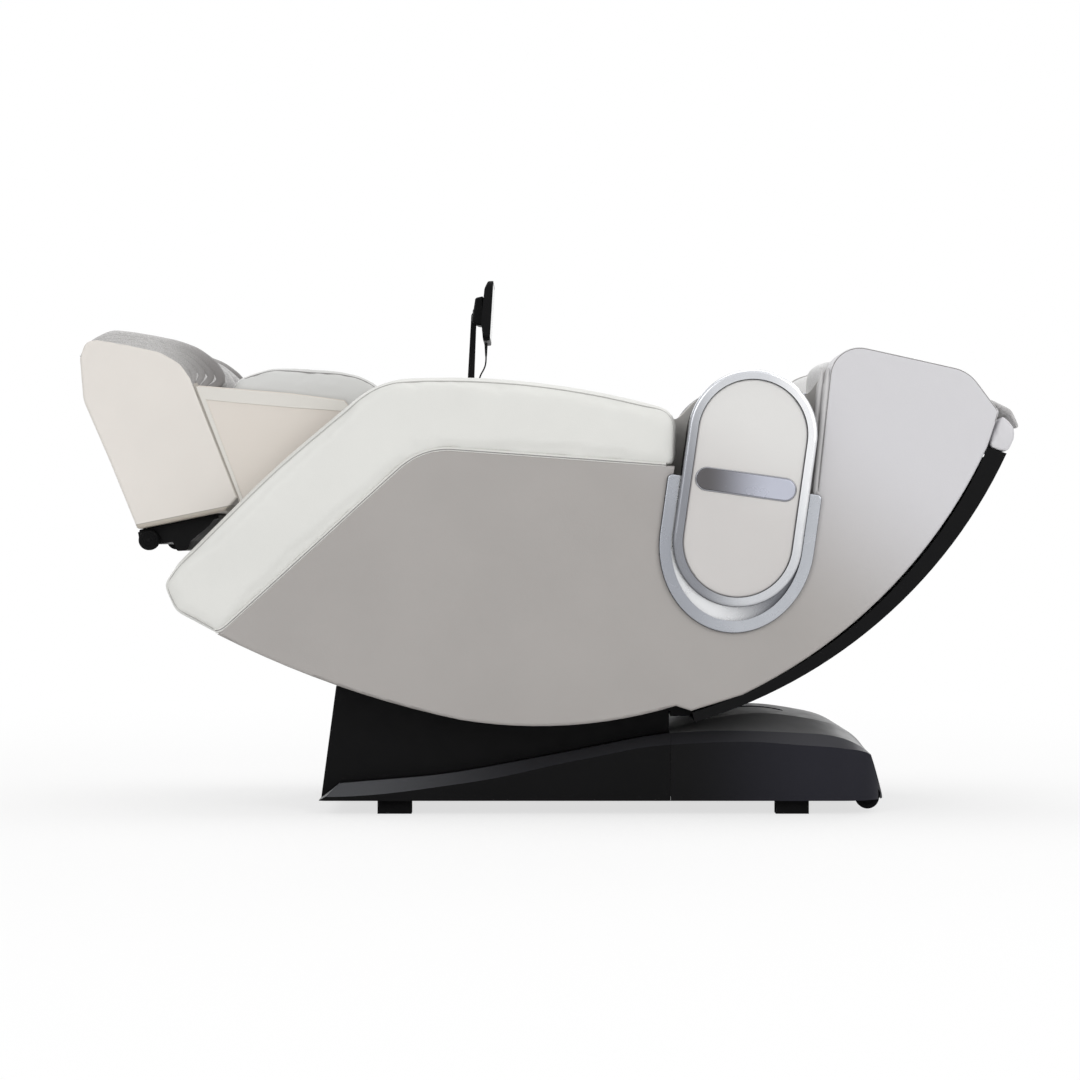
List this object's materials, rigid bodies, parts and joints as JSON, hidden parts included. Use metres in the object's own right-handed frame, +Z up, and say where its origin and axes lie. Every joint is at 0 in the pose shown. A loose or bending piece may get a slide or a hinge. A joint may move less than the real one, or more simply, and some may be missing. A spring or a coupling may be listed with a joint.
{
  "type": "massage chair",
  "caption": "Reclined massage chair with padded arms, oval shoulder capsules, calf and foot rests, rollers in the back, and a tablet on a post.",
  "frame": {"origin": "on the floor, under the middle of the object's outer box", "axes": "+X towards the head end, -X towards the feet, +Y towards the sitter's right, +Z up"},
  "size_m": [1.9251, 0.86, 1.1298],
  "materials": {
    "shell_grey": "satin metallic grey paint",
    "pad_leather": "smooth near-white artificial leather",
    "seat_leather": "soft light artificial leather",
    "knit": "light grey melange knit",
    "leg_plastic": "satin warm white",
    "black_plastic": "satin black",
    "charcoal_plastic": "satin charcoal",
    "pearl_face": "pearl lacquer",
    "bright_trim": "satin silver",
    "badge_chrome": "brushed bright plate",
    "speaker_silver": "silver",
    "frame_steel": "black powder coat",
    "bright_steel": "ground",
    "actuator_alloy": "grey alloy",
    "rubber_black": "matt",
    "board": "covered board",
    "screen_glass": "glossy black",
    "cable_rubber": "matt black sheath"
  },
  "bodies": {
    "base": {"base_frame": "frame_steel", "base_feet": "rubber_black", "front_base_cover": "black_plastic", "rear_base_cover": "charcoal_plastic", "power_supply": "black_plastic", "air_pump": "black_plastic", "power_inlet": "black_plastic"},
    "power_switch": {"power_switch": "black_plastic"},
    "transport_wheel_right": {"transport_wheel_right": "rubber_black"},
    "transport_wheel_left": {"transport_wheel_left": "rubber_black"},
    "recline_actuator": {"recline_actuator": "actuator_alloy"},
    "recline_rod": {"recline_rod": "bright_steel"},
    "chair_body": {"pivot_shafts": "bright_steel", "recline_lever": "frame_steel", "seat_frame": "frame_steel", "back_frame": "frame_steel", "frame_bolts": "bright_steel", "seat_cushion": "seat_leather", "back_cushion": "seat_leather", "head_pillow": "seat_leather", "side_shell_right": "shell_grey", "side_shell_left": "shell_grey", "arm_pad_right": "pad_leather", "arm_pad_left": "pad_leather", "arm_liners": "board", "shoulder_units": "black_plastic", "capsule_rings": "bright_trim", "capsule_faces": "pearl_face", "badge_plates": "badge_chrome", "side_trims": "bright_trim", "shoulder_pads": "knit", "head_side_pads": "knit", "speakers": "speaker_silver", "back_cover": "black_plastic", "back_lip": "shell_grey", "head_flap": "knit", "tablet_socket": "black_plastic"},
    "legrest_actuator": {"legrest_actuator": "actuator_alloy"},
    "legrest_rod": {"legrest_rod": "bright_steel"},
    "legrest": {"legrest_frame": "frame_steel", "calf_housing": "leg_plastic", "calf_cushion": "knit"},
    "footrest": {"foot_housing": "leg_plastic", "foot_liner": "knit", "foot_rails": "bright_steel", "foot_base": "black_plastic"},
    "foot_wheel_right": {"foot_wheel_right": "rubber_black"},
    "foot_wheel_left": {"foot_wheel_left": "rubber_black"},
    "massage_carriage": {"massage_carriage": "frame_steel"},
    "kneading_arm_right": {"kneading_arm_right": "black_plastic"},
    "kneading_arm_left": {"kneading_arm_left": "black_plastic"},
    "lower_roller_right": {"lower_roller_right": "rubber_black"},
    "lower_roller_left": {"lower_roller_left": "rubber_black"},
    "upper_roller_right": {"upper_roller_right": "rubber_black"},
    "upper_roller_left": {"upper_roller_left": "rubber_black"},
    "tablet_post": {"tablet_post": "black_plastic", "tablet_cable": "cable_rubber"},
    "tablet": {"tablet_case": "black_plastic", "tablet_screen": "screen_glass"}
  },
  "joints": [
    {"name": "recline", "type": "hinge", "parent": "base", "child": "chair_body", "pos_m": [-0.018, 0, 0.3], "axis": [0, 1, 0], "range_deg": [-24, 0]},
    {"name": "recline_actuator_tilt", "type": "hinge", "parent": "base", "child": "recline_actuator", "pos_m": [0.36, 0, 0.084], "axis": [0, 1, 0], "range_deg": [-0.01, 1.18]},
    {"name": "recline_rod_stroke", "type": "slide", "parent": "recline_actuator", "child": "recline_rod", "axis": [-0.9276, 0, 0.3737], "range_m": [-0.0242, 0.0002]},
    {"name": "legrest_tilt", "type": "hinge", "parent": "chair_body", "child": "legrest", "pos_m": [-0.448, 0, 0.699], "axis": [0, 1, 0], "range_deg": [-55, 8]},
    {"name": "legrest_actuator_tilt", "type": "hinge", "parent": "chair_body", "child": "legrest_actuator", "pos_m": [-0.11, 0, 0.335], "axis": [0, 1, 0], "range_deg": [-0.76, 0.12]},
    {"name": "legrest_rod_stroke", "type": "slide", "parent": "legrest_actuator", "child": "legrest_rod", "axis": [-0.7426, 0, 0.6698], "range_m": [-0.048, 0.0072]},
    {"name": "footrest_slide", "type": "slide", "parent": "legrest", "child": "footrest", "axis": [-0.9391, 0, -0.3437], "range_m": [0, 0.15]},
    {"name": "foot_wheel_right_turn", "type": "hinge", "parent": "footrest", "child": "foot_wheel_right", "pos_m": [-0.821, 0.235, 0.556], "axis": [0, 1, 0], "continuous": true},
    {"name": "foot_wheel_left_turn", "type": "hinge", "parent": "footrest", "child": "foot_wheel_left", "pos_m": [-0.821, -0.235, 0.556], "axis": [0, 1, 0], "continuous": true},
    {"name": "transport_wheel_right_turn", "type": "hinge", "parent": "base", "child": "transport_wheel_right", "pos_m": [0.65, 0.27, 0.032], "axis": [0, 1, 0], "continuous": true},
    {"name": "transport_wheel_left_turn", "type": "hinge", "parent": "base", "child": "transport_wheel_left", "pos_m": [0.65, -0.27, 0.032], "axis": [0, 1, 0], "continuous": true},
    {"name": "carriage_climb", "type": "hinge", "parent": "chair_body", "child": "massage_carriage", "pos_m": [-0.166, 0, 1.532], "axis": [0, -1, 0], "range_deg": [-9.5, 12]},
    {"name": "kneading_right", "type": "hinge", "parent": "massage_carriage", "child": "kneading_arm_right", "pos_m": [0.46036, 0.065, 0.42491], "axis": [0, 1, 0], "range_deg": [-8, 8]},
    {"name": "kneading_left", "type": "hinge", "parent": "massage_carriage", "child": "kneading_arm_left", "pos_m": [0.46036, -0.065, 0.42491], "axis": [0, 1, 0], "range_deg": [-8, 8]},
    {"name": "lower_roller_right_turn", "type": "hinge", "parent": "kneading_arm_right", "child": "lower_roller_right", "pos_m": [0.40694, 0.084, 0.40755], "axis": [0, 1, 0], "continuous": true},
    {"name": "upper_roller_right_turn", "type": "hinge", "parent": "kneading_arm_right", "child": "upper_roller_right", "pos_m": [0.50276, 0.084, 0.46176], "axis": [0, 1, 0], "continuous": true},
    {"name": "lower_roller_left_turn", "type": "hinge", "parent": "kneading_arm_left", "child": "lower_roller_left", "pos_m": [0.40694, -0.084, 0.40755], "axis": [0, 1, 0], "continuous": true},
    {"name": "upper_roller_left_turn", "type": "hinge", "parent": "kneading_arm_left", "child": "upper_roller_left", "pos_m": [0.50276, -0.084, 0.46176], "axis": [0, 1, 0], "continuous": true},
    {"name": "tablet_swivel", "type": "hinge", "parent": "chair_body", "child": "tablet_post", "pos_m": [-0.175, 0.33, 0.9], "axis": [0, 0, 1], "range_deg": [-45, 45]},
    {"name": "tablet_tilt", "type": "hinge", "parent": "tablet_post", "child": "tablet", "pos_m": [-0.16, 0.33, 1.068], "axis": [0, 1, 0], "range_deg": [-8, 12], "deforming": ["tablet_cable"]},
    {"name": "power_switch_rock", "type": "hinge", "parent": "base", "child": "power_switch", "pos_m": [0.663, 0.022, 0.061], "axis": [0, 1, 0], "range_deg": [-9, 9]}
  ],
  "couplings": [
    {"joint": "recline_actuator_tilt", "follows": "recline", "ratio": -0.04839},
    {"joint": "recline_rod_stroke", "follows": "recline", "m_per_rad": 0.05681},
    {"joint": "legrest_actuator_tilt", "follows": "legrest_tilt", "ratio": 0.01345},
    {"joint": "legrest_rod_stroke", "follows": "legrest_tilt", "m_per_rad": 0.04956},
    {"joint": "kneading_left", "follows": "kneading_right", "ratio": -1}
  ]
}
